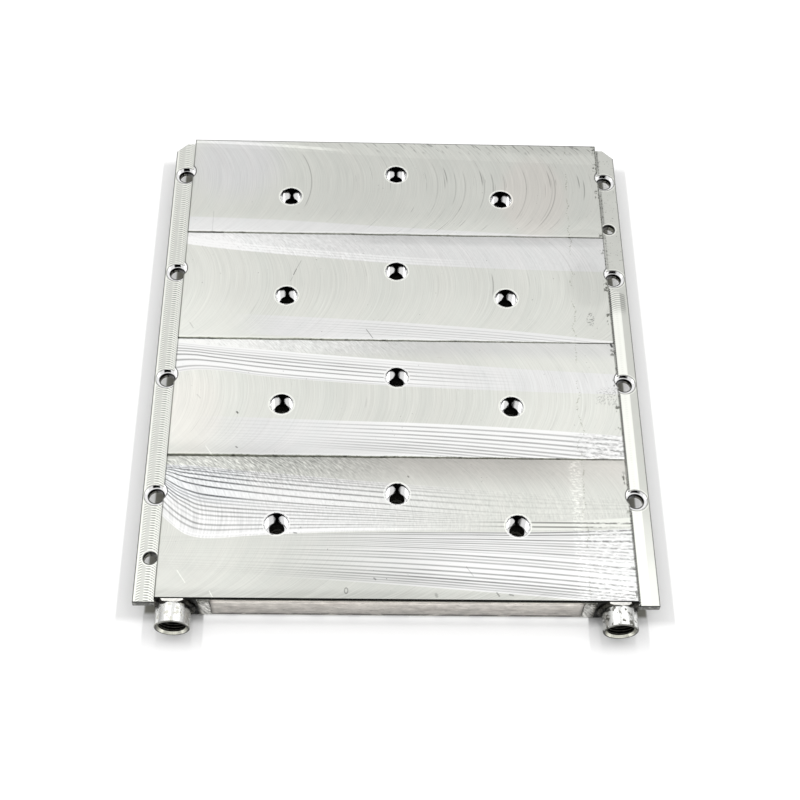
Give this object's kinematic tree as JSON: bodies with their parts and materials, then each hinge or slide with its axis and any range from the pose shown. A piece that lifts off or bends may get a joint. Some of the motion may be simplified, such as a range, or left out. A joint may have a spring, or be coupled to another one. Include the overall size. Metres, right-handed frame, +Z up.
{
  "type": "liquid cooling cold plate",
  "caption": "Machined aluminium liquid cold plate with counterbored mounting holes, drilled side flanges and two threaded coolant ports at the front corners.",
  "frame": {"origin": "middle of the footprint with its flanges and port bosses, on the resting plane", "axes": "+Z up out of the milled top, -Y out of the ports at the front, +X to the right seen from the front"},
  "size_m": [0.2346, 0.2784, 0.0165],
  "materials": {
    "plate": "face-milled",
    "cover": "milled",
    "fins": "mill finish sheet",
    "ports": "turned",
    "welds": "weld bead",
    "strip": "satin, scuffed"
  },
  "bodies": {
    "root": {"plate_body": "plate", "bottom_cover": "cover", "fin_row1_bay1": "fins", "fin_row1_bay2": "fins", "fin_row1_bay3": "fins", "fin_row1_bay4": "fins", "fin_row2_bay1": "fins", "fin_row2_bay2": "fins", "fin_row2_bay3": "fins", "fin_row2_bay4": "fins", "fin_row3_bay1": "fins", "fin_row3_bay2": "fins", "fin_row3_bay3": "fins", "fin_row3_bay4": "fins", "fin_row4_bay1": "fins", "fin_row4_bay2": "fins", "fin_row4_bay3": "fins", "fin_row4_bay4": "fins", "inlet_port_boss": "ports", "outlet_port_boss": "ports", "inlet_port_weld": "welds", "outlet_port_weld": "welds", "front_closing_strip": "strip", "strip_weld_left": "welds", "strip_weld_right": "welds"}
  },
  "joints": []
}
